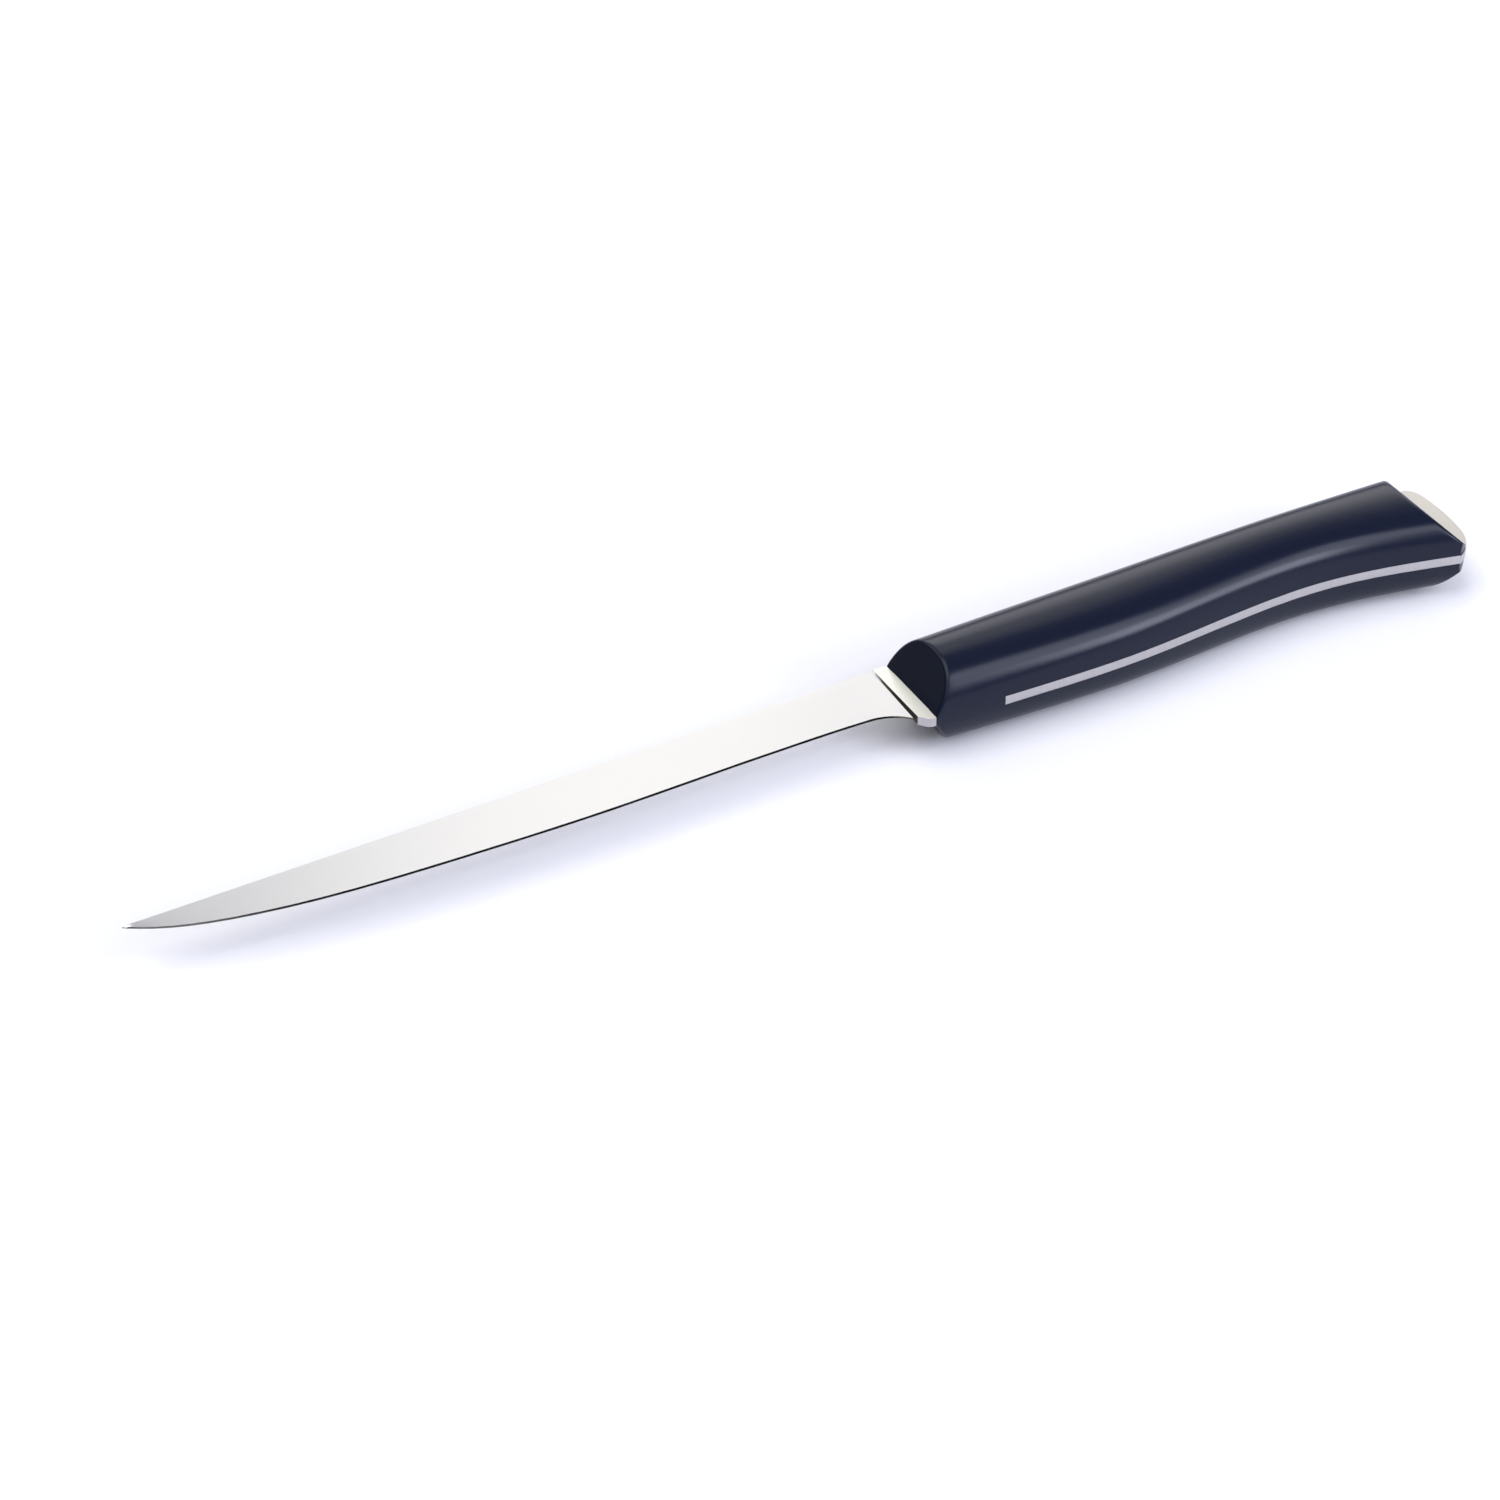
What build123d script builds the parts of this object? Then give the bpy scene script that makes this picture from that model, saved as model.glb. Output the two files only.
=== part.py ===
from build123d import *
from build123d.topology import SkipClean
import math
import os

# A fillet knife in two pieces: one flat steel blank that is blade, ricasso, full tang and tail,
# and a plastic handle moulded round the tang. Lengths are in millimetres, angles in degrees.
# The knife is drawn with X = 0 at the front of the handle and the tip at -X, Y = 0 at the spine
# and the edge at -Y, and Z = 0 in the middle of the steel. At the end it is set down on its
# lower cheek, with the origin under the middle of its footprint.

# Steel sheet
SHEET = 2.2                   # thickness of the blank, kept by the ricasso, tang and tail
SPINE_EASE = 0.25             # small chamfer that takes the sharpness off the spine

# Blade
BLADE_LENGTH = 180.0          # tip to the front of the handle
BLADE_DEPTH = 14.6            # spine to edge where the belly is deepest
HEEL_DEPTH = 14.4             # spine to edge where the flare starts
TIP_DEPTH = 0.3               # blunt end left at the very tip
TIP_THICKNESS = 0.7           # spine at the tip, thinned by the distal taper
SHOULDER_THICKNESS = 0.36     # steel left where the flat grind meets the edge bevel
EDGE_THICKNESS = 0.06         # what is left of the cutting edge
EDGE_BEVEL = 0.55             # width of the sharpened bevel
TIP_FADE = 1.5                # blade depth at which bevel and easing are down to half
FLARE_LENGTH = 9.0            # concave curve from the edge down to the ricasso

# Edge between tip and heel: shares of BLADE_LENGTH ahead of the handle and of BLADE_DEPTH down
EDGE_SHARES = (
    (0.95, 0.35),
    (0.88, 0.6),
    (0.79, 0.785),
    (0.67, 0.905),
    (0.55, 0.967),
    (0.43, 1.0),
    (0.28, 0.975),
    (0.17, 0.962),
)
TIP_SLOPE_SHARE = 0.7         # how far the edge drops for each step back from the tip

# Ricasso, the unground block in front of the handle
RICASSO_LENGTH = 3.3
RICASSO_DEPTH = 21.3          # also the depth of the handle's front
PLUNGE_RAMP = 0.5             # slope between the ground blade and the ricasso
FLARE_DROP_SHARE = 0.59       # share of the drop to the ricasso that the flare makes
HEEL_CORNER_SHARE = 0.42      # ricasso corner's place, as a share of its length
HEEL_ROUNDING_SHARE = 0.65    # ricasso corner's radius, as a share of its length

# Tang
TANG_LENGTH = 139.4           # front of the handle to the end of the tail
COLLAR_LENGTH = 16.9          # closed front of the handle, where the tang hides in a neck
NECK_INSET = 3.0              # plastic over each side of the neck
ANCHOR_DIAMETER = 7.0         # holes in the tang that the plastic flows through
ANCHOR_SHARES = (0.27, 0.53, 0.79)

# Tail, the rounded end of the tang past the plastic
TAIL_BULGE = 0.5
TAIL_SPINE_CORNER = 3.6
TAIL_REVEAL = 0.8             # steel that shows past the plastic round the belly corner
BREAKOUT = 0.5                # how far a corner's curve runs on past the surface it meets
TAIL_SHARES = (0.12, 0.48, 0.69)

# Handle
HANDLE_THICKNESS = 20.8       # across the narrow flats along the cheeks
CHEEK_CROWN = 0.06            # what each flat takes off the rounded skin
SPINE_PROUD = 0.3             # plastic above the line of the spine
SWELL_DEPTH = 22.95           # fullest place of the palm swell
WAIST_DEPTH = 20.2            # narrow place for the little finger
BUTT_DEPTH = 26.9             # deepest corner of the butt
SWELL_SHARE = 0.32
WAIST_SHARE = 0.67
BUTT_SHARE = 0.953
FRONT_RISE_SHARE = -0.046     # slope of the belly at the front of the handle
BUTT_RISE_SHARE = -0.27       # slope of the belly at the butt
FRONT_FULLNESS_SHARE = 0.63   # squareness of the section, where 0.5523 is an ellipse
BUTT_FULLNESS_SHARE = 0.77
FRONT_LEAN = 31.0             # slope of the front facets, from square
BUTT_LEAN = 43.5              # slope of the butt facets, from square
BUTT_FOOT = 135.6             # where the butt facets reach the steel, at the spine
BUTT_SLANT = 1.8              # how much the foot of the butt facets turns back towards the belly

# Drawing
OVERRUN = 5.0                 # how far cutting solids reach past what they cut
GRIND_STATIONS = 14
FLARE_STATIONS = 5
HANDLE_STATIONS = 8


def edge_spline():
    """Cutting edge from the tip to the start of the flare."""
    tip = Vector(-BLADE_LENGTH, -TIP_DEPTH)
    heel = Vector(-RICASSO_LENGTH - PLUNGE_RAMP - FLARE_LENGTH, -HEEL_DEPTH)
    belly = [Vector(-BLADE_LENGTH * along, -BLADE_DEPTH * down) for along, down in EDGE_SHARES]
    return Spline(tip, *belly, heel, tangents=[(1, -TIP_SLOPE_SHARE), (1, 0)])


def flare_arc(heel):
    """Concave arc from the heel, tangent to the edge, down to the foot of the plunge line."""
    drop = (RICASSO_DEPTH - HEEL_DEPTH) * FLARE_DROP_SHARE
    return TangentArc(heel, heel + Vector(FLARE_LENGTH, -drop), tangent=(1, 0))


def both_sides(corners):
    """Corners of the upper half of a section, then the same corners on the lower half."""
    return corners + [(y, -z) for y, z in reversed(corners)]


def ground_section(spot):
    """Wedge of the ground blade over one spot of the edge: corners in Y and Z."""
    depth = -spot.Y
    to_tip = -spot.X / BLADE_LENGTH
    spine = (SHEET + (TIP_THICKNESS - SHEET) * to_tip) / 2
    fade = depth / (depth + TIP_FADE)
    ease = SPINE_EASE * fade
    bevel = EDGE_BEVEL * fade
    return both_sides([
        (0, spine - ease),
        (-ease, spine),
        (bevel - depth, SHOULDER_THICKNESS / 2),
        (-depth, EDGE_THICKNESS / 2),
    ])


def full_section(depth):
    """Section of the unground blank, with as many corners as the ground one."""
    half = SHEET / 2
    return both_sides([(0, half), (-SPINE_EASE, half), (EDGE_BEVEL - depth, half), (-depth, half)])


def face_across(x, corners):
    """Closed polygon in the plane that crosses the knife at x."""
    return Face(Wire.make_polygon([Vector(x, y, z) for y, z in corners], close=True))


def ground_blade(stations):
    """Blade from tip to plunge line: ruled faces between the long lines that the corners draw."""
    sections = [ground_section(spot) for spot in stations]
    lines = [
        Spline([Vector(spot.X, *corner) for spot, corner in zip(stations, corners)])
        for corners in zip(*sections)
    ]
    skin = [
        Face.make_surface_from_curves(line, following)
        for line, following in zip(lines, lines[1:] + lines[:1])
    ]
    ends = [face_across(stations[place].X, sections[place]) for place in (0, -1)]
    return Solid(Shell(skin + ends))


def blade_and_ricasso():
    """Ground blade, ramp of the plunge line, and the full ricasso with its rounded corner."""
    edge = edge_spline()
    flare = flare_arc(edge @ 1)
    along_edge = [
        edge @ (1 - math.cos(math.pi / 2 * step / GRIND_STATIONS)) for step in range(GRIND_STATIONS)
    ]
    along_flare = [flare @ (step / FLARE_STATIONS) for step in range(FLARE_STATIONS + 1)]
    stations = along_edge + along_flare

    foot = stations[-1]
    corner = Vector(-RICASSO_LENGTH * HEEL_CORNER_SHARE, -RICASSO_DEPTH)
    front = foot + (corner - foot) * (PLUNGE_RAMP / (corner.X - foot.X))
    ramp_ends = [face_across(foot.X, ground_section(foot)), face_across(front.X, full_section(-front.Y))]
    ramp = loft(ramp_ends, ruled=True)

    belly_end = (0, -RICASSO_DEPTH)
    rounding = RICASSO_LENGTH * HEEL_ROUNDING_SHARE
    heel = FilletPolyline(front, corner, belly_end, radius=rounding)
    back = Polyline(belly_end, (0, 0), (front.X, 0), front)
    ricasso = extrude(Face(Wire([*heel.edges(), *back.edges()])), SHEET / 2, both=True)
    return ground_blade(stations) + ramp + ricasso


def belly_spline():
    """Underside of the handle: front, palm swell, waist and butt."""
    return Spline(
        (0, -RICASSO_DEPTH),
        (TANG_LENGTH * SWELL_SHARE, -SWELL_DEPTH),
        (TANG_LENGTH * WAIST_SHARE, -WAIST_DEPTH),
        (TANG_LENGTH * BUTT_SHARE, -BUTT_DEPTH),
        tangents=[(1, FRONT_RISE_SHARE), (1, 0), (1, 0), (1, BUTT_RISE_SHARE)],
    )


def handle_section(spot):
    """Section of the handle over one spot of the belly: four quarters, soonest square at the front."""
    middle = (SPINE_PROUD + spot.Y) / 2
    half_depth = (SPINE_PROUD - spot.Y) / 2
    half_thickness = HANDLE_THICKNESS / 2 + CHEEK_CROWN
    to_front = 1 - spot.X / TANG_LENGTH
    fullness = BUTT_FULLNESS_SHARE + (FRONT_FULLNESS_SHARE - BUTT_FULLNESS_SHARE) * to_front ** 3

    def quarter(out, up):
        side = Vector(spot.X, middle + out * half_depth, 0)
        crown = Vector(spot.X, middle, up * half_thickness)
        lift = Vector(0, 0, up * half_thickness * fullness)
        reach = Vector(0, out * half_depth * fullness, 0)
        return Bezier(side, side + lift, crown + reach, crown)

    quarters = [quarter(1, 1), quarter(-1, 1), quarter(-1, -1), quarter(1, -1)]
    return Face(Wire(quarters))


def handle_envelope():
    """Outer skin that plastic and tang share, run past both ends of the handle."""
    belly = belly_spline()
    ahead = belly @ 0 - belly % 0 * OVERRUN
    behind = belly @ 1 + belly % 1 * (TANG_LENGTH * (1 - BUTT_SHARE) + OVERRUN)
    spots = [belly @ (step / HANDLE_STATIONS) for step in range(HANDLE_STATIONS + 1)]
    return loft([handle_section(spot) for spot in [ahead, *spots, behind]])


def butt_plan():
    """Everything ahead of the rounded end of the tail, seen from the side of the blade."""
    spine_side, apex, belly_side = (-BUTT_DEPTH * share for share in TAIL_SHARES)
    inner = TANG_LENGTH - TAIL_BULGE
    bulge = ThreePointArc((inner, spine_side), (TANG_LENGTH, apex), (inner, belly_side))
    spine_end = Vector(TANG_LENGTH - TAIL_SPINE_CORNER - BREAKOUT, SPINE_PROUD + BREAKOUT)
    belly_end = Vector(TANG_LENGTH * BUTT_SHARE - BREAKOUT, -BUTT_DEPTH - BREAKOUT)
    spine_corner = TangentArc(bulge @ 0, spine_end, tangent=bulge % 0 * -1)
    belly_corner = TangentArc(bulge @ 1, belly_end, tangent=bulge % 1)
    above = SPINE_PROUD + OVERRUN
    below = -BUTT_DEPTH - OVERRUN
    rest = Polyline(
        belly_end,
        (belly_end.X, below),
        (-OVERRUN, below),
        (-OVERRUN, above),
        (spine_end.X, above),
        spine_end,
    )
    outline = Face(Wire([*spine_corner.edges(), *bulge.edges(), *belly_corner.edges(), *rest.edges()]))
    return extrude(outline, HANDLE_THICKNESS, both=True)


def faceted_end(foot, far, lean, slant):
    """Block from far to foot, where it is as thick as the steel, with a facet sloping off each side."""
    land = SHEET / 2
    height = HANDLE_THICKNESS / 2
    setback = (height - land) * math.tan(math.radians(lean))
    shoulder = foot + math.copysign(setback, far - foot)
    upper = [(foot, land), (shoulder, height), (far, height)]
    lower = [(x, -z) for x, z in reversed(upper)]
    outline = Wire.make_polygon([Vector(x, 0, z) for x, z in upper + lower], close=True)
    to_belly = (math.tan(math.radians(slant)), -1, 0)
    return extrude(Face(outline), BUTT_DEPTH + OVERRUN, dir=to_belly, both=True)


def tang_stock(front):
    """Flat bar of the tang from front: neck, full width past the collar, and anchor holes."""
    neck_depth = RICASSO_DEPTH - NECK_INSET
    neck = Pos(front, -neck_depth) * Rectangle(
        COLLAR_LENGTH - front, neck_depth - NECK_INSET, align=(Align.MIN, Align.MIN)
    )
    full = Pos(COLLAR_LENGTH, -BUTT_DEPTH - OVERRUN) * Rectangle(
        TANG_LENGTH - COLLAR_LENGTH + OVERRUN,
        BUTT_DEPTH + SPINE_PROUD + OVERRUN + OVERRUN,
        align=(Align.MIN, Align.MIN),
    )
    holes = [
        Pos(TANG_LENGTH * share, -RICASSO_DEPTH / 2) * Circle(ANCHOR_DIAMETER / 2)
        for share in ANCHOR_SHARES
    ]
    return extrude(neck + full - holes, SHEET / 2, both=True)


def steel_blank():
    """Blade, ricasso, tang and tail in one piece, flush with the handle along spine and belly."""
    tang = tang_stock(0) & (handle_envelope() & butt_plan())
    blade = blade_and_ricasso()
    # The seam at the handle stays, so that the sides of the ricasso are faces of their own
    with SkipClean():
        return blade + tang


def moulded_handle():
    """Plastic cheeks, each with a narrow flat, joined by the collar and the plugs in the holes."""
    front = faceted_end(0, TANG_LENGTH + OVERRUN, FRONT_LEAN, 0)
    butt = faceted_end(BUTT_FOOT, -OVERRUN, BUTT_LEAN, BUTT_SLANT)
    body = handle_envelope() & (Pos(-TAIL_REVEAL) * butt_plan()) & front & butt
    return body - tang_stock(-OVERRUN)


pieces = {"blade_and_tang": steel_blank(), "handle": moulded_handle()}
footprint = Compound(children=[Compound(piece.solids()) for piece in pieces.values()]).bounding_box()
set_down = Pos(-footprint.center().X, -footprint.center().Y, -footprint.min.Z)

os.makedirs("parts", exist_ok=True)
for name, piece in pieces.items():
    export_step(set_down * piece, f"parts/{name}.step")
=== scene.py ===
import math

import bpy
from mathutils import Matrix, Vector


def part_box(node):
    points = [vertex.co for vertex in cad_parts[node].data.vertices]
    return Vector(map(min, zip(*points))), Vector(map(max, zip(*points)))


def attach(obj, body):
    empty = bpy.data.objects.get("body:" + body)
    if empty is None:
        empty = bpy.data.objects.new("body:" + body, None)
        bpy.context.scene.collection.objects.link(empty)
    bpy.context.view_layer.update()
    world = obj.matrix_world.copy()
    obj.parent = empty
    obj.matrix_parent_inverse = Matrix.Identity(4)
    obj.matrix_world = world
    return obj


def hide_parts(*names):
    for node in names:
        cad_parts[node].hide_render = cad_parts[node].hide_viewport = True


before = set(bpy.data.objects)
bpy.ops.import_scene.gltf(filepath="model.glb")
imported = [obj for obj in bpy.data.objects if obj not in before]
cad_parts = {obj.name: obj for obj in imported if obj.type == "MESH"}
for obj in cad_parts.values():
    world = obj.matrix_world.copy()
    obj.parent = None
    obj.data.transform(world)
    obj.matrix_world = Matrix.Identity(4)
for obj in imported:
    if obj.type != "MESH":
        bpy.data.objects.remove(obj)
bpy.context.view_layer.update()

bl_info = {
    "name": "Fillet knife",
    "version": (1, 0, 0),
    "blender": (4, 5, 0),
    "location": "3D View > Sidebar > Fillet knife",
    "description": "Finishes a fillet knife with a moulded handle and sets it on a studio table",
    "category": "Object",
}

MM = 0.001
HANDLE_FROM, HANDLE_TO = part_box("handle")
STEEL_FROM, STEEL_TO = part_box("blade_and_tang")
MIDDLE = (STEEL_FROM.z + STEEL_TO.z) / 2     # height of the middle of the steel
FRONT = HANDLE_FROM.x                        # where the handle starts along the knife

# Belly of the handle: mm behind its front, depth in mm under the spine, slope
BELLY = ((0, 21.3, 0.046), (44.6, 22.95, 0), (93.4, 20.2, 0), (132.85, 26.9, 0.27))

# Places on the steel, measured from the front of the handle unless it says otherwise
RICASSO = 3.35 * MM                    # the unground band reaches this far ahead
HONED_END = 5 * MM                     # the honed slope ends this far ahead
HEEL, HEEL_REACH = 9.5 * MM, 6.2 * MM  # middle of heel and plunge line, and half their length
TAIL = 100 * MM                        # further behind than this the sheet belongs to the tail
POINT = 10 * MM                        # length of the point, from the tip
SPINE_BAND = 1 * MM                    # eased spine, from the top of the steel, which isn't honed

# Limits on the parts of the normal, which tell the surfaces apart
ON_EDGE = 0.5                          # Z under this: the cut outline of the sheet
SIDE_SLOPE, POINT_SLOPE = 0.988, 0.95  # Z under this: honed, along the blade and at the point
TILTED = 0.12                          # X over this: plunge line and outline of the heel
FACET = 0.6                            # X over this: a facet of the handle

# Finish of the surfaces
LINE_SHADE = 0.94                      # how dark the grinding lines get, as a share of the colour
WALL_DARK, WALL_LIGHT = "#b0aeb0", "#c4c2c4"
# Dark colour of the plunge line and the heel's outline: painted shade at the step
PLUNGE_SHADE_COLOUR = "#45443f"
SHEET_ROUGH, WALL_ROUGH, HONED_ROUGH, FACET_ROUGH = 0.3, 0.45, 0.16, 0.25
SPOT = 0.5 * MM                        # tumbling spots, and spacing of the crosswise scratches
SCRATCH_SCALE = 60                     # crosswise scratches per metre of their own length
RELIEF, RELIEF_STRENGTH = 0.02 * MM, 0.12

# Mesh of the handle
RINGS, STEPS, ROUNDS = 64, 20, 6       # rings, points in each quarter of one, rounds to place a rim
NECK_NEAR, NECK_FAR = 3 * MM, 18.3 * MM    # sides of the tang's neck, under the line of the spine
BUTT_END = 1.3 * MM                    # the plastic ends this far ahead of the end of the tail
BUTT_SIDE = 28.07 * MM                 # belly side of the butt, under the top of the steel
CREASE = math.radians(38)              # edges sharper than this stay sharp

# Studio: name, bearing and elevation, distance, size, strength, colour of each light
AIM = Vector((0, 0, 0.01))
WHITE, WARM, BLUISH = "#fffdfa", "#fffdf3", "#ebeeff"
SOFTBOXES = (
    ("back card", (60, 22), 1.6, (1.3, 0.56), 2.25, WHITE),
    ("blade card", (62, 45), 1.6, (0.46, 0.42), 1.65, WARM),
    ("side box", (-54, 22), 1.3, (0.42, 0.46), 14.0, BLUISH),
    ("side fill", (-52, 46), 1.4, (0.6, 0.7), 5.4, BLUISH),
    ("left box", (112, 40), 1.8, (1.2, 0.7), 1.2, WHITE),
    ("top box", (170, 72), 2.2, (1.9, 1.9), 2.65, WHITE),
    ("camera box", (-118, 42), 2.0, (1.6, 0.8), 1.0, WHITE),
)
SURROUND, SURROUND_STRENGTH = "#d6deff", 0.24
TABLE_SIZE = 12


def linear(hex_colour):
    """Linear RGB of an sRGB hex colour."""
    parts = [int(hex_colour[place:place + 2], 16) / 255 for place in (1, 3, 5)]
    return [part / 12.92 if part <= 0.04045 else ((part + 0.055) / 1.055) ** 2.4 for part in parts]


def add(tree, kind, inputs=None, **settings):
    """Add a node with its settings, and give its inputs their values and links."""
    made = tree.nodes.new(kind)
    for name, value in settings.items():
        setattr(made, name, value)
    for socket, value in (inputs or {}).items():
        if isinstance(value, bpy.types.NodeSocket):
            tree.links.new(value, made.inputs[socket])
        else:
            made.inputs[socket].default_value = value
    return made


def new_material(name):
    """A material with an empty tree but for its output."""
    material = bpy.data.materials.new(name)
    material.use_nodes = True
    material.node_tree.nodes.clear()
    output = add(material.node_tree, "ShaderNodeOutputMaterial")
    return material, material.node_tree, output


class KnifeSteelSettings(bpy.types.PropertyGroup):
    colour: bpy.props.FloatVectorProperty(
        name="Steel colour", description="Colour of the ground steel",
        subtype="COLOR", size=3, min=0, max=1, default=linear("#e5e4e4"),
    )
    roughness: bpy.props.FloatProperty(
        name="Roughness", description="How satin the ground sides are",
        min=0, max=1, default=0.3, subtype="FACTOR",
    )
    # Lifted above the steel's own tone: a painted highlight
    ricasso_tone_and_painted_highlight: bpy.props.FloatVectorProperty(
        name="Ricasso colour", description="Colour of the unground band in front of the handle",
        subtype="COLOR", size=3, min=0, max=1, default=linear("#f2f1e9"),
    )
    # Darker than the ricasso: painted shade
    tail_tone_and_painted_shade: bpy.props.FloatVectorProperty(
        name="Tail colour", description="Colour of the unground tail behind the handle",
        subtype="COLOR", size=3, min=0, max=1, default=linear("#d8d4cb"),
    )
    # The dark colour of the honed slope is painted shade
    edge_painted_shade: bpy.props.FloatVectorProperty(
        name="Edge colour", description="Colour of the honed slope along the cutting edge",
        subtype="COLOR", size=3, min=0, max=1, default=linear("#424141"),
    )
    line_spacing: bpy.props.FloatProperty(
        name="Grinding lines", description="Spacing of the lines that the grinding belt leaves",
        min=0.05 * MM, default=0.35 * MM, unit="LENGTH",
    )


class KnifeHandleSettings(bpy.types.PropertyGroup):
    colour: bpy.props.FloatVectorProperty(
        name="Plastic colour", description="Colour of the moulded handle",
        subtype="COLOR", size=3, min=0, max=1, default=linear("#111729"),
    )
    # The darker colour of the facets is painted shade
    facet_painted_shade: bpy.props.FloatVectorProperty(
        name="Facet colour", description="Colour of the trimmed facets at both ends",
        subtype="COLOR", size=3, min=0, max=1, default=linear("#0a1120"),
    )
    roughness: bpy.props.FloatProperty(
        name="Roughness", description="How satin the cheeks are",
        min=0, max=1, default=0.25, subtype="FACTOR",
    )
    thickness: bpy.props.FloatProperty(
        name="Thickness", description="Thickness of the handle across its cheeks",
        default=HANDLE_TO.z - HANDLE_FROM.z, unit="LENGTH",
    )
    spine_proud: bpy.props.FloatProperty(
        name="Proud of the spine",
        description="How far the handle stands above the line of the spine",
        default=0.3 * MM, unit="LENGTH",
    )
    tang_length: bpy.props.FloatProperty(
        name="Tang length", description="Front of the handle to the end of the tail",
        default=STEEL_TO.x - FRONT, unit="LENGTH",
    )
    collar: bpy.props.FloatProperty(
        name="Collar", description="Length of the closed front, where the steel doesn't show",
        default=16.9 * MM, unit="LENGTH",
    )
    front_fullness: bpy.props.FloatProperty(
        name="Fullness in front",
        description="Squareness of the section in front, 0.55 for an ellipse",
        default=0.63, subtype="FACTOR",
    )
    butt_fullness: bpy.props.FloatProperty(
        name="Fullness at the butt", description="Squareness of the section at the butt",
        default=0.77, subtype="FACTOR",
    )
    front_lean: bpy.props.FloatProperty(
        name="Front lean", description="Slope of the front facets, from square",
        default=math.radians(31), subtype="ANGLE",
    )
    butt_lean: bpy.props.FloatProperty(
        name="Butt lean", description="Slope of the butt facets, from square",
        default=math.radians(43.5), subtype="ANGLE",
    )
    butt_foot: bpy.props.FloatProperty(
        name="Butt foot", description="Where the butt facets reach the steel at the spine",
        default=135.6 * MM, unit="LENGTH",
    )
    butt_slant: bpy.props.FloatProperty(
        name="Butt slant", description="How far the foot of the butt facets turns back",
        default=math.radians(1.8), subtype="ANGLE",
    )
    corner: bpy.props.FloatProperty(
        name="Belly corner",
        description="Rounding of the belly corner of the butt, seen on the cheek",
        default=9.17 * MM, unit="LENGTH",
    )
    rim: bpy.props.FloatProperty(
        name="Rim rounding", description="Width of the rounding on the rims of the facets",
        default=0.7 * MM, unit="LENGTH",
    )
    grain: bpy.props.FloatProperty(
        name="Mould grain", description="Grain size of the mould's texture",
        min=0.05 * MM, default=0.3 * MM, unit="LENGTH",
    )


class KnifeStageSettings(bpy.types.PropertyGroup):
    floor_colour: bpy.props.FloatVectorProperty(
        name="Floor colour", description="Colour of the table top",
        subtype="COLOR", size=3, min=0, max=1, default=linear("#f4f4f6"),
    )
    camera_place: bpy.props.FloatVectorProperty(
        name="Camera place", description="Where the camera stands",
        subtype="TRANSLATION", size=3, unit="LENGTH", default=(-0.435119, -0.742859, 0.6676),
    )
    camera_tilt: bpy.props.FloatProperty(
        name="Camera tilt", description="Angle that the camera looks down at",
        default=math.radians(37.59), subtype="ANGLE",
    )
    camera_turn: bpy.props.FloatProperty(
        name="Camera turn", description="Angle of the view to the right of +Y",
        default=math.radians(29.14), subtype="ANGLE",
    )
    lens: bpy.props.FloatProperty(
        name="Lens", description="Focal length in millimetres on a 36 mm sensor",
        min=10, default=121.625,
    )


class KnifeSettings(bpy.types.PropertyGroup):
    steel: bpy.props.PointerProperty(type=KnifeSteelSettings)
    handle: bpy.props.PointerProperty(type=KnifeHandleSettings)
    stage: bpy.props.PointerProperty(type=KnifeStageSettings)


def belly_depth(behind):
    """Depth of the handle under the spine, in metres, that far behind its front."""
    for (x0, d0, m0), (x1, d1, m1) in zip(BELLY, BELLY[1:]):
        span = (x1 - x0) * MM
        share = (behind - x0 * MM) / span
        if share <= 1 or x1 == BELLY[-1][0]:
            if not 0 <= share <= 1:
                end = 0 if share < 0 else 1
                return (d0, d1)[end] * MM + (m0, m1)[end] * (share - end) * span
            rise = share * share * (3 - 2 * share)
            slopes = m0 * share * (1 - share) ** 2 - m1 * share * share * (1 - share)
            return (d0 + (d1 - d0) * rise) * MM + slopes * span


def skin_point(settings, x, place):
    """Point on the handle's rounded skin at x.

    Place runs round it: 0 spine, 1 cheek, 2 belly, 3 cheek.
    """
    behind = x - FRONT
    depth = belly_depth(behind)
    proud = settings.spine_proud
    half_depth = (depth + proud) / 2
    to_front = 1 - behind / settings.tang_length
    fuller = settings.front_fullness - settings.butt_fullness
    fullness = settings.butt_fullness + fuller * to_front ** 3
    quarter, share = divmod(place % 4, 1)
    quarter = int(quarter)
    t = share if quarter % 2 == 0 else 1 - share
    ends = (1 - t) ** 3 + 3 * (1 - t) ** 2 * t, 3 * (1 - t) * t ** 2 + t ** 3
    out = half_depth * (ends[0] + 3 * (1 - t) * t ** 2 * fullness)
    up = settings.thickness / 2 * (ends[1] + 3 * (1 - t) ** 2 * t * fullness)
    return Vector((
        x,
        STEEL_TO.y - half_depth + (out if quarter in (0, 3) else -out),
        MIDDLE + (up if quarter < 2 else -up),
    ))


def select(obj, mode, chosen):
    """In edit mode, select only those vertices, edges or faces for which chosen says yes."""
    bpy.ops.object.mode_set(mode="EDIT")
    bpy.ops.mesh.select_mode(type=mode)
    bpy.ops.mesh.select_all(action="DESELECT")
    bpy.ops.object.mode_set(mode="OBJECT")
    data = {"VERT": obj.data.vertices, "EDGE": obj.data.edges, "FACE": obj.data.polygons}[mode]
    for element in data:
        element.select = chosen(element)
    bpy.ops.object.mode_set(mode="EDIT")


def block(name, low, high):
    """A box between two corners, for cutting."""
    bpy.ops.object.select_all(action="DESELECT")
    middle = (Vector(low) + Vector(high)) / 2
    bpy.ops.mesh.primitive_cube_add(size=1, location=middle, scale=Vector(high) - Vector(low))
    bpy.ops.object.transform_apply(location=True, rotation=True, scale=True)
    bpy.context.object.name = name
    return bpy.context.object


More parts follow.
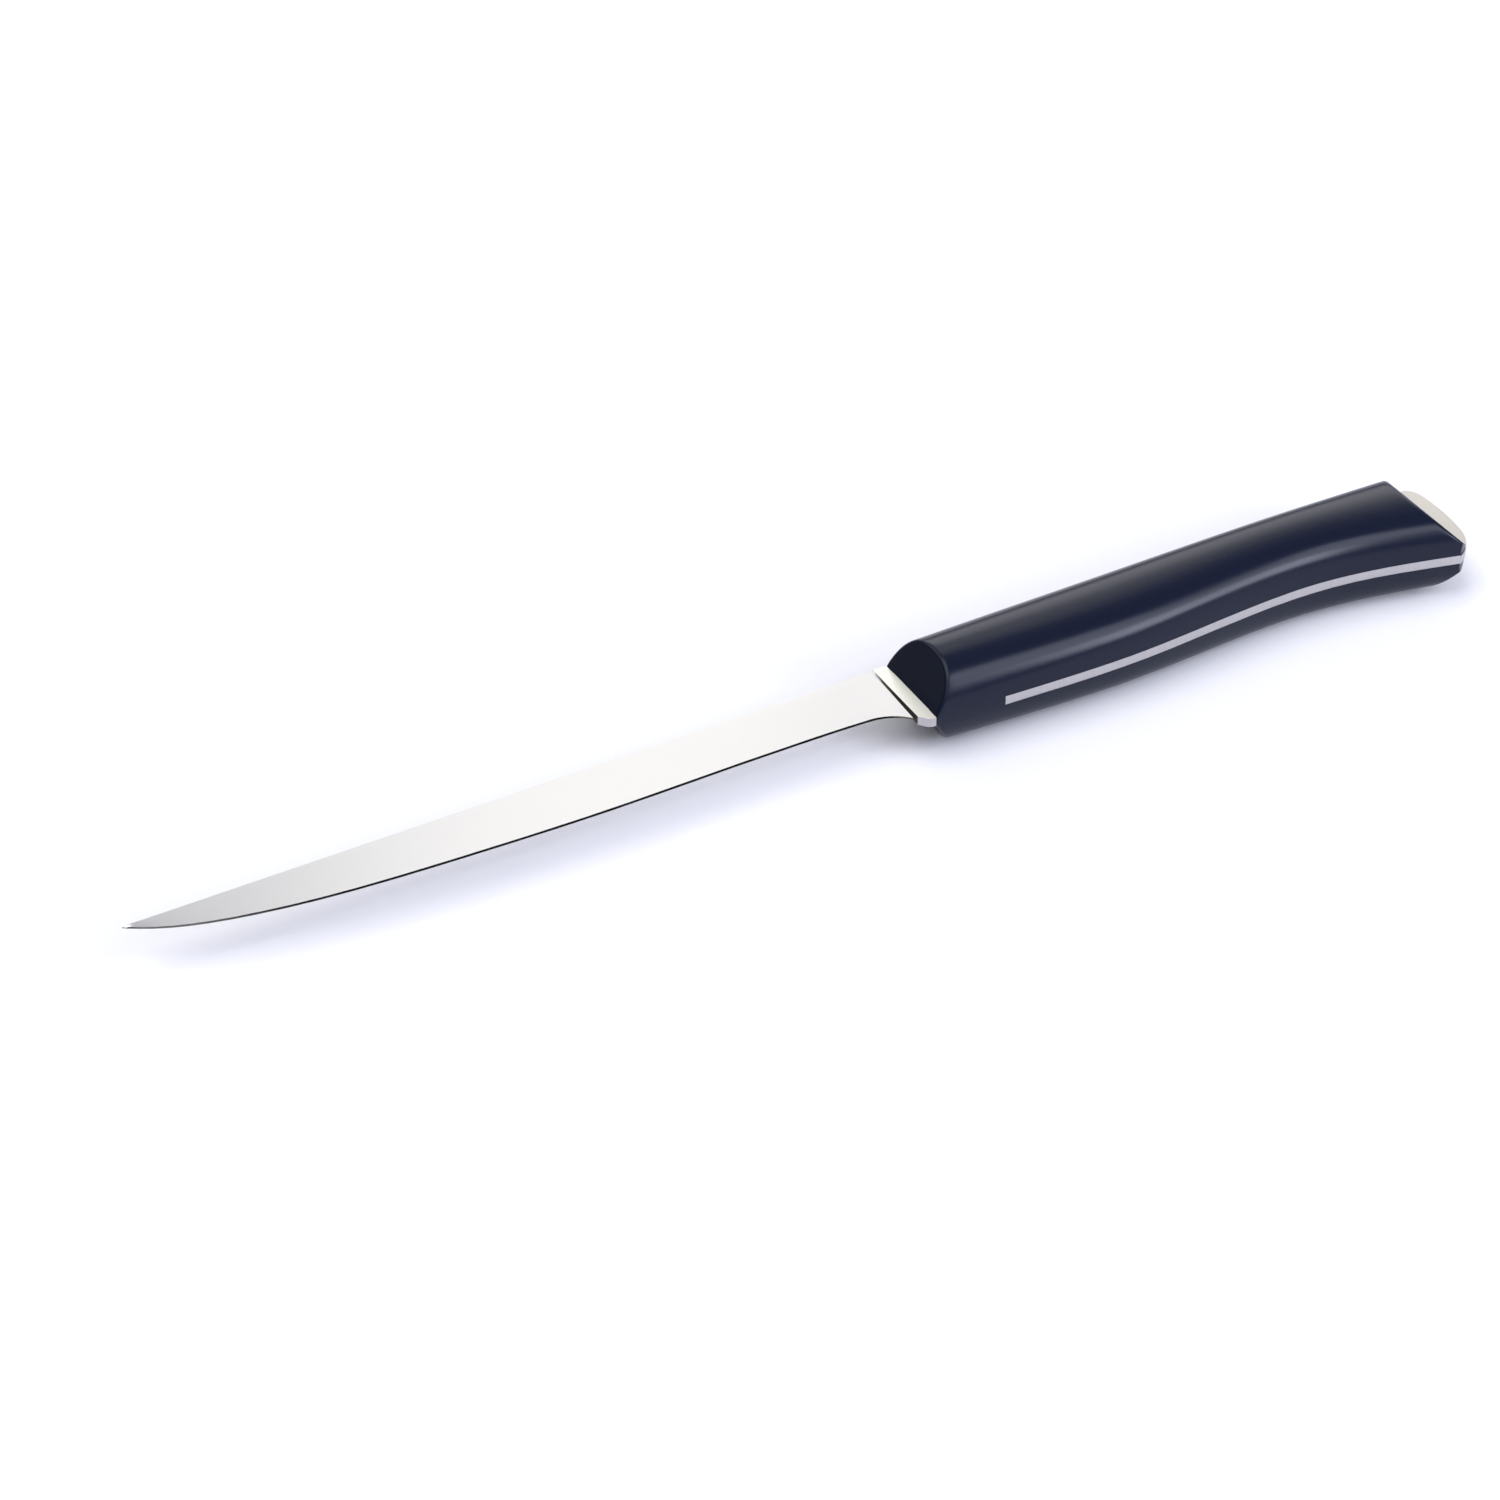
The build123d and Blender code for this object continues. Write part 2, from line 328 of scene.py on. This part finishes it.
def boolean(obj, operation, cutter):
    """Apply a boolean with a cutter, and remove the cutter."""
    bpy.ops.object.select_all(action="DESELECT")
    bpy.context.view_layer.objects.active = obj
    obj.select_set(True)
    bpy.ops.object.modifier_add(type="BOOLEAN")
    modifier = obj.modifiers[-1]
    modifier.operation = operation
    modifier.solver = "EXACT"
    modifier.object = cutter
    bpy.ops.object.modifier_apply(modifier=modifier.name)
    bpy.data.objects.remove(cutter)


class FINISH_OT_blade(bpy.types.Operator):
    """Give the steel blank its ground and satin finish"""
    bl_idname = "fillet_knife.blade"
    bl_label = "Blade and tang"

    def execute(self, context):
        settings = context.scene.fillet_knife.steel
        material, tree, output = new_material("Stainless steel, belt ground")
        # Stainless steel, flat ground on a fine belt that runs along the blade: satin, with faint
        # long lines. The real lines are about 0.05 mm apart, too fine to show, and are drawn
        # several times coarser.
        place = add(tree, "ShaderNodeTexCoord").outputs["Object"]
        spacing = settings.line_spacing
        along = add(tree, "ShaderNodeMapping", {
            "Vector": place, "Scale": (0.03 / spacing, 1 / spacing, 1 / spacing),
        })
        lines = add(tree, "ShaderNodeTexNoise", {
            "Vector": along.outputs[0], "Scale": 1.0, "Detail": 4.0, "Roughness": 0.7,
        })

        # Where the surface stands on edge it is the cut outline of the sheet, ground flush with
        # the plastic across its width. The narrow slope along the cutting edge is honed; its dark
        # colour is painted shade.
        facing = add(tree, "ShaderNodeSeparateXYZ", {
            "Vector": add(tree, "ShaderNodeNewGeometry").outputs["True Normal"],
        })
        flatness = add(tree, "ShaderNodeMath", {0: facing.outputs["Z"]}, operation="ABSOLUTE")
        wall = add(tree, "ShaderNodeMath", {
            0: flatness.outputs[0], 1: ON_EDGE,
        }, operation="LESS_THAN")
        where = add(tree, "ShaderNodeSeparateXYZ", {"Vector": place})
        # The sides themselves grow steeper in the last millimetres of the point
        past_point = add(tree, "ShaderNodeMath", {
            0: where.outputs["X"], 1: STEEL_FROM.x + POINT,
        }, operation="GREATER_THAN")
        limit = add(tree, "ShaderNodeMath", {
            0: past_point.outputs[0], 1: SIDE_SLOPE - POINT_SLOPE, 2: POINT_SLOPE,
        }, operation="MULTIPLY_ADD")
        slope = add(tree, "ShaderNodeMath", {
            0: flatness.outputs[0], 1: limit.outputs[0],
        }, operation="LESS_THAN")
        ahead = add(tree, "ShaderNodeMath", {
            0: where.outputs["X"], 1: FRONT - HONED_END,
        }, operation="LESS_THAN")
        not_spine = add(tree, "ShaderNodeMath", {
            0: where.outputs["Y"], 1: STEEL_TO.y - SPINE_BAND,
        }, operation="LESS_THAN")
        honed_and_painted_dark = add(tree, "ShaderNodeMath", {
            0: slope.outputs[0],
            1: add(tree, "ShaderNodeMath", {
                0: ahead.outputs[0], 1: not_spine.outputs[0],
            }, operation="MULTIPLY").outputs[0],
        }, operation="MULTIPLY")

        # The ramp of the plunge line and the outline of the heel are painted dark as thin lines:
        # painted shade at the step.
        tilt = add(tree, "ShaderNodeMath", {0: facing.outputs["X"]}, operation="ABSOLUTE")
        tilted = add(tree, "ShaderNodeMath", {
            0: tilt.outputs[0], 1: TILTED,
        }, operation="GREATER_THAN")
        heel = add(tree, "ShaderNodeMath", {
            0: where.outputs["X"], 1: FRONT - HEEL, 2: HEEL_REACH,
        }, operation="COMPARE")
        plunge_painted_shade = add(tree, "ShaderNodeMath", {
            0: tilted.outputs[0], 1: heel.outputs[0],
        }, operation="MULTIPLY")

        # Ricasso and tail keep the face of the sheet, tumbled with the parts: no lines, a fine
        # even mottling, warmer than the ground steel. The ricasso is made brighter as a painted
        # highlight, and the tail darker as painted shade.
        whole = add(tree, "ShaderNodeMath", {
            0: where.outputs["X"], 1: FRONT - RICASSO,
        }, operation="GREATER_THAN")
        tail = add(tree, "ShaderNodeMath", {
            0: where.outputs["X"], 1: FRONT + TAIL,
        }, operation="GREATER_THAN")
        sheet = add(tree, "ShaderNodeMix", {
            "Factor": tail.outputs[0],
            "A": (*settings.ricasso_tone_and_painted_highlight, 1), "B": (*settings.tail_tone_and_painted_shade, 1),
        }, data_type="RGBA")
        mottling = add(tree, "ShaderNodeTexNoise", {
            "Vector": add(tree, "ShaderNodeMapping", {
                "Vector": place, "Scale": (1 / SPOT,) * 3,
            }).outputs[0],
            "Scale": 1.0, "Detail": 2.0,
        })
        spots = add(tree, "ShaderNodeMapRange", {
            "Value": mottling.outputs["Fac"], "To Min": 0.88, "To Max": 1.0,
        })
        tumbled_and_painted = add(tree, "ShaderNodeVectorMath", {
            "Vector": sheet.outputs["Result"], "Scale": spots.outputs[0],
        }, operation="SCALE")

        across = add(tree, "ShaderNodeMapping", {
            "Vector": place, "Scale": (1 / SPOT, SCRATCH_SCALE, SCRATCH_SCALE),
        })
        scratches = add(tree, "ShaderNodeTexNoise", {
            "Vector": across.outputs[0], "Scale": 1.0, "Detail": 3.0, "Roughness": 0.7,
        })
        flat_colour = add(tree, "ShaderNodeMix", {
            "Factor": lines.outputs["Fac"],
            "A": (*[LINE_SHADE * part for part in settings.colour], 1), "B": (*settings.colour, 1),
        }, data_type="RGBA")
        face_colour = add(tree, "ShaderNodeMix", {
            "Factor": whole.outputs[0],
            "A": flat_colour.outputs["Result"], "B": tumbled_and_painted.outputs[0],
        }, data_type="RGBA")
        wall_colour = add(tree, "ShaderNodeMix", {
            "Factor": scratches.outputs["Fac"],
            "A": (*linear(WALL_DARK), 1), "B": (*linear(WALL_LIGHT), 1),
        }, data_type="RGBA")
        outline = add(tree, "ShaderNodeMix", {
            "Factor": wall.outputs[0],
            "A": face_colour.outputs["Result"], "B": wall_colour.outputs["Result"],
        }, data_type="RGBA")
        edged = add(tree, "ShaderNodeMix", {
            "Factor": honed_and_painted_dark.outputs[0], "A": outline.outputs["Result"],
            "B": (*settings.edge_painted_shade, 1),
        }, data_type="RGBA")
        colour = add(tree, "ShaderNodeMix", {
            "Factor": plunge_painted_shade.outputs[0], "A": edged.outputs["Result"],
            "B": (*linear(PLUNGE_SHADE_COLOUR), 1),
        }, data_type="RGBA")
        satin = add(tree, "ShaderNodeMapRange", {
            "Value": lines.outputs["Fac"], "To Min": settings.roughness - 0.05,
            "To Max": settings.roughness + 0.05,
        })
        dull = add(tree, "ShaderNodeMix", {
            "Factor": whole.outputs[0], "A": satin.outputs[0], "B": SHEET_ROUGH,
        }, data_type="FLOAT")
        coarse = add(tree, "ShaderNodeMix", {
            "Factor": wall.outputs[0], "A": dull.outputs["Result"], "B": WALL_ROUGH,
        }, data_type="FLOAT")
        rough = add(tree, "ShaderNodeMix", {
            "Factor": honed_and_painted_dark.outputs[0], "A": coarse.outputs["Result"], "B": HONED_ROUGH,
        }, data_type="FLOAT")
        height = add(tree, "ShaderNodeMix", {
            "Factor": wall.outputs[0], "A": lines.outputs["Fac"], "B": scratches.outputs["Fac"],
        }, data_type="FLOAT")
        bump = add(tree, "ShaderNodeBump", {
            "Height": height.outputs["Result"], "Strength": RELIEF_STRENGTH, "Distance": RELIEF,
        })
        shader = add(tree, "ShaderNodeBsdfPrincipled", {
            "Base Color": colour.outputs["Result"], "Metallic": 1.0,
            "Roughness": rough.outputs["Result"], "Normal": bump.outputs[0],
        })
        tree.links.new(shader.outputs[0], output.inputs["Surface"])
        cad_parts["blade_and_tang"].material_slots[0].material = material
        return {"FINISHED"}


class FINISH_OT_handle(bpy.types.Operator):
    """Model the moulded handle and give it its satin plastic"""
    bl_idname = "fillet_knife.handle"
    bl_label = "Handle"

    def execute(self, context):
        settings = context.scene.fillet_knife.handle
        material, tree, output = new_material("Acetal plastic, moulded")
        # Navy acetal from a spark-eroded mould: a satin skin with a fine even grain, which breaks
        # up the edges of the reflections. The real grain is about 0.05 mm, too fine to show, and
        # is drawn coarser. The specular level is low, so that the skin mirrors little of the
        # white table.
        place = add(tree, "ShaderNodeTexCoord").outputs["Object"]
        grain = add(tree, "ShaderNodeTexNoise", {
            "Vector": add(tree, "ShaderNodeMapping", {
                "Vector": place, "Scale": (1 / settings.grain,) * 3,
            }).outputs[0],
            "Scale": 1.0, "Detail": 2.0,
        })

        # The facets at both ends are trimmed with a cutter that runs from belly to spine: they
        # look flatter, with fine lines that way. Their darker colour is painted shade.
        facing = add(tree, "ShaderNodeSeparateXYZ", {
            "Vector": add(tree, "ShaderNodeNewGeometry").outputs["Normal"],
        })
        steepness = add(tree, "ShaderNodeMath", {0: facing.outputs["X"]}, operation="ABSOLUTE")
        facet = add(tree, "ShaderNodeMath", {
            0: steepness.outputs[0], 1: FACET,
        }, operation="GREATER_THAN")
        lines = add(tree, "ShaderNodeTexNoise", {
            "Vector": add(tree, "ShaderNodeMapping", {
                "Vector": place,
                "Scale": (1 / settings.grain, 0.06 / settings.grain, 1 / settings.grain),
            }).outputs[0],
            "Scale": 1.0, "Detail": 3.0, "Roughness": 0.6,
        })
        colour = add(tree, "ShaderNodeMix", {
            "Factor": facet.outputs[0],
            "A": (*settings.colour, 1), "B": (*settings.facet_painted_shade, 1),
        }, data_type="RGBA")
        height = add(tree, "ShaderNodeMix", {
            "Factor": facet.outputs[0], "A": grain.outputs["Fac"], "B": lines.outputs["Fac"],
        }, data_type="FLOAT")
        satin = add(tree, "ShaderNodeMapRange", {
            "Value": height.outputs["Result"], "To Min": settings.roughness - 0.04,
            "To Max": settings.roughness + 0.04,
        })
        rough = add(tree, "ShaderNodeMix", {
            "Factor": facet.outputs[0], "A": satin.outputs[0], "B": FACET_ROUGH,
        }, data_type="FLOAT")
        bump = add(tree, "ShaderNodeBump", {
            "Height": height.outputs["Result"], "Strength": RELIEF_STRENGTH, "Distance": RELIEF,
        })
        shader = add(tree, "ShaderNodeBsdfPrincipled", {
            "Base Color": colour.outputs["Result"], "IOR": 1.48, "Specular IOR Level": 0.24,
            "Roughness": rough.outputs["Result"], "Normal": bump.outputs[0],
        })
        tree.links.new(shader.outputs[0], output.inputs["Surface"])
        handle = self.model(settings)
        handle.data.materials.append(material)
        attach(handle, "root")
        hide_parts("handle")
        return {"FINISHED"}

    def model(self, settings):
        """The handle: a tube of rings on its skin, closed by facets, with a slot for the tang."""
        around = [quarter + step / STEPS for quarter in range(4) for step in range(STEPS)]
        land = (STEEL_TO.z - STEEL_FROM.z) / 2
        spine = STEEL_TO.y - settings.spine_proud

        bpy.ops.object.select_all(action="DESELECT")
        bpy.ops.mesh.primitive_circle_add(vertices=len(around), radius=settings.thickness / 2)
        handle = bpy.context.object
        handle.name = "handle_moulding"
        bpy.ops.object.mode_set(mode="EDIT")
        for _ in range(RINGS):
            bpy.ops.mesh.extrude_edges_move(TRANSFORM_OT_translate={"value": (0, 0, 1 * MM)})
        bpy.ops.object.mode_set(mode="OBJECT")

        # The first and the last ring lie in the planes of the facets, those between evenly spaced
        def rim(place, foot, lean, slant):
            x = foot
            for _ in range(ROUNDS):
                point = skin_point(settings, x, place)
                rise = max(0, abs(point.z - MIDDLE) - land)
                x = foot + rise * math.tan(lean) - (point.y - spine) * math.tan(slant)
            return x

        spread = []
        for place in around:
            ahead = rim(place, FRONT, settings.front_lean, 0)
            behind = rim(
                place, FRONT + settings.butt_foot, -settings.butt_lean, settings.butt_slant,
            )
            spread.append((ahead, behind))
        for vertex in handle.data.vertices:
            ring, number = divmod(vertex.index, len(around))
            ahead, behind = spread[number]
            x = ahead + (behind - ahead) * ring / RINGS
            vertex.co = skin_point(settings, x, around[number])
        handle.data.update()

        # Each end is closed by two facets and, between them, by a land as wide as the steel
        count, half = len(around), len(around) // 2
        for first in (0, RINGS * count):
            upper = set(range(first + 1, first + half))
            lower = set(range(first + half + 1, first + count))
            between = {first + step for step in (0, 1, half - 1, half, half + 1, count - 1)}
            for corners in (upper, lower, between):
                select(handle, "VERT", lambda vertex: vertex.index in corners)
                bpy.ops.mesh.edge_face_add()
        select(handle, "VERT", lambda vertex: True)
        bpy.ops.mesh.normals_make_consistent(inside=False)

        # The rims between the facets and the skin are rounded
        bpy.ops.object.mode_set(mode="OBJECT")
        facets = [face for face in handle.data.polygons if len(face.vertices) == half - 1]
        touching = {}
        for face in handle.data.polygons:
            for key in face.edge_keys:
                touching.setdefault(key, []).append(face in facets)
        on_rim = [
            key for key, sides in touching.items()
            if sorted(sides) == [False, True] and abs(key[0] - key[1]) == 1
        ]
        select(handle, "EDGE", lambda edge: edge.key in on_rim)
        bpy.ops.mesh.bevel(offset=settings.rim, segments=4, profile=0.5, affect="EDGES")
        bpy.ops.object.mode_set(mode="OBJECT")

        # Butt corner at the belly, neck of the tang, and the slot for the tang behind the collar
        past = 5 * MM
        wall = STEEL_TO.x - BUTT_END
        corner = block("corner", (FRONT - past, STEEL_TO.y - BUTT_SIDE, HANDLE_FROM.z - past),
                       (wall, STEEL_TO.y + past, HANDLE_TO.z + past))
        select(corner, "EDGE", lambda edge: all(
            corner.data.vertices[place].co.x > wall - past and corner.data.vertices[place].co.y < 0
            for place in edge.vertices
        ))
        bpy.ops.mesh.bevel(offset=settings.corner, segments=24, profile=0.5, affect="EDGES")
        bpy.ops.object.mode_set(mode="OBJECT")
        boolean(handle, "INTERSECT", corner)
        neck = block("neck", (FRONT - past, spine - NECK_FAR, STEEL_FROM.z),
                     (FRONT + settings.collar + past, spine - NECK_NEAR, STEEL_TO.z))
        boolean(handle, "DIFFERENCE", neck)
        tang = block("tang", (FRONT + settings.collar, -3 * STEEL_TO.y, STEEL_FROM.z),
                     (STEEL_TO.x + past, 3 * STEEL_TO.y, STEEL_TO.z))
        boolean(handle, "DIFFERENCE", tang)

        bpy.context.view_layer.objects.active = handle
        handle.select_set(True)
        bpy.ops.object.shade_smooth_by_angle(angle=CREASE)
        bpy.ops.object.modifier_add(type="WEIGHTED_NORMAL")
        handle.modifiers[-1].keep_sharp = True
        bpy.ops.object.modifier_apply(modifier=handle.modifiers[-1].name)
        return handle


def softbox(name, towards, distance, size, strength, colour):
    """A rectangular studio light that faces the knife from a bearing and an elevation."""
    bearing, elevation = (math.radians(angle) for angle in towards)
    out = Vector((
        math.cos(elevation) * math.cos(bearing),
        math.cos(elevation) * math.sin(bearing),
        math.sin(elevation),
    ))
    bpy.ops.object.light_add(type="AREA", location=AIM + out * distance)
    light = bpy.context.object
    light.name = name
    light.data.name = name
    light.rotation_euler = out.to_track_quat("Z", "Y").to_euler()
    light.data.shape = "RECTANGLE"
    light.data.size, light.data.size_y = size
    area = size[0] * size[1]
    light.data.energy = strength * area * math.pi
    light.data.color = linear(colour)


class STAGE_OT_studio(bpy.types.Operator):
    """Set the floor, the lights and the camera"""
    bl_idname = "fillet_knife.stage"
    bl_label = "Stage"

    def execute(self, context):
        settings = context.scene.fillet_knife.stage
        bpy.ops.object.select_all(action="DESELECT")
        bpy.ops.mesh.primitive_plane_add(size=TABLE_SIZE)
        floor = context.object
        floor.name = "table_top"
        material, tree, output = new_material("Matt white table top")
        shader = add(tree, "ShaderNodeBsdfDiffuse", {"Color": (*settings.floor_colour, 1)})
        tree.links.new(shader.outputs[0], output.inputs["Surface"])
        floor.data.materials.append(material)

        for lamp in SOFTBOXES:
            softbox(*lamp)

        world = bpy.data.worlds.new("studio")
        context.scene.world = world
        world.use_nodes = True
        world.node_tree.nodes.clear()
        surround = add(world.node_tree, "ShaderNodeBackground", {
            "Color": (*linear(SURROUND), 1), "Strength": SURROUND_STRENGTH,
        })
        ending = add(world.node_tree, "ShaderNodeOutputWorld")
        world.node_tree.links.new(surround.outputs[0], ending.inputs["Surface"])

        bpy.ops.object.camera_add(
            location=settings.camera_place,
            rotation=(math.pi / 2 - settings.camera_tilt, 0, -settings.camera_turn),
        )
        camera = context.object
        camera.data.sensor_width = 36
        camera.data.lens = settings.lens
        camera.data.clip_start = 0.01
        context.scene.camera = camera
        context.scene.view_settings.view_transform = "Standard"
        return {"FINISHED"}


class VIEW3D_PT_fillet_knife(bpy.types.Panel):
    """Sizes and colours of the fillet knife"""
    bl_label = "Fillet knife"
    bl_space_type = "VIEW_3D"
    bl_region_type = "UI"
    bl_category = "Fillet knife"

    def draw(self, context):
        settings = context.scene.fillet_knife
        for group, operator in (
            (settings.steel, FINISH_OT_blade),
            (settings.handle, FINISH_OT_handle),
            (settings.stage, STAGE_OT_studio),
        ):
            box = self.layout.box()
            for name in group.bl_rna.properties.keys():
                if name not in ("rna_type", "name"):
                    box.prop(group, name)
            box.operator(operator.bl_idname)


CLASSES = (
    KnifeSteelSettings, KnifeHandleSettings, KnifeStageSettings, KnifeSettings,
    FINISH_OT_blade, FINISH_OT_handle, STAGE_OT_studio, VIEW3D_PT_fillet_knife,
)


def register():
    for cls in CLASSES:
        bpy.utils.register_class(cls)
    bpy.types.Scene.fillet_knife = bpy.props.PointerProperty(type=KnifeSettings)


def unregister():
    del bpy.types.Scene.fillet_knife
    for cls in reversed(CLASSES):
        bpy.utils.unregister_class(cls)


def main():
    """Build the whole scene."""
    register()
    bpy.ops.fillet_knife.stage()
    bpy.ops.fillet_knife.blade()
    bpy.ops.fillet_knife.handle()


if __name__ == "__main__":
    main()
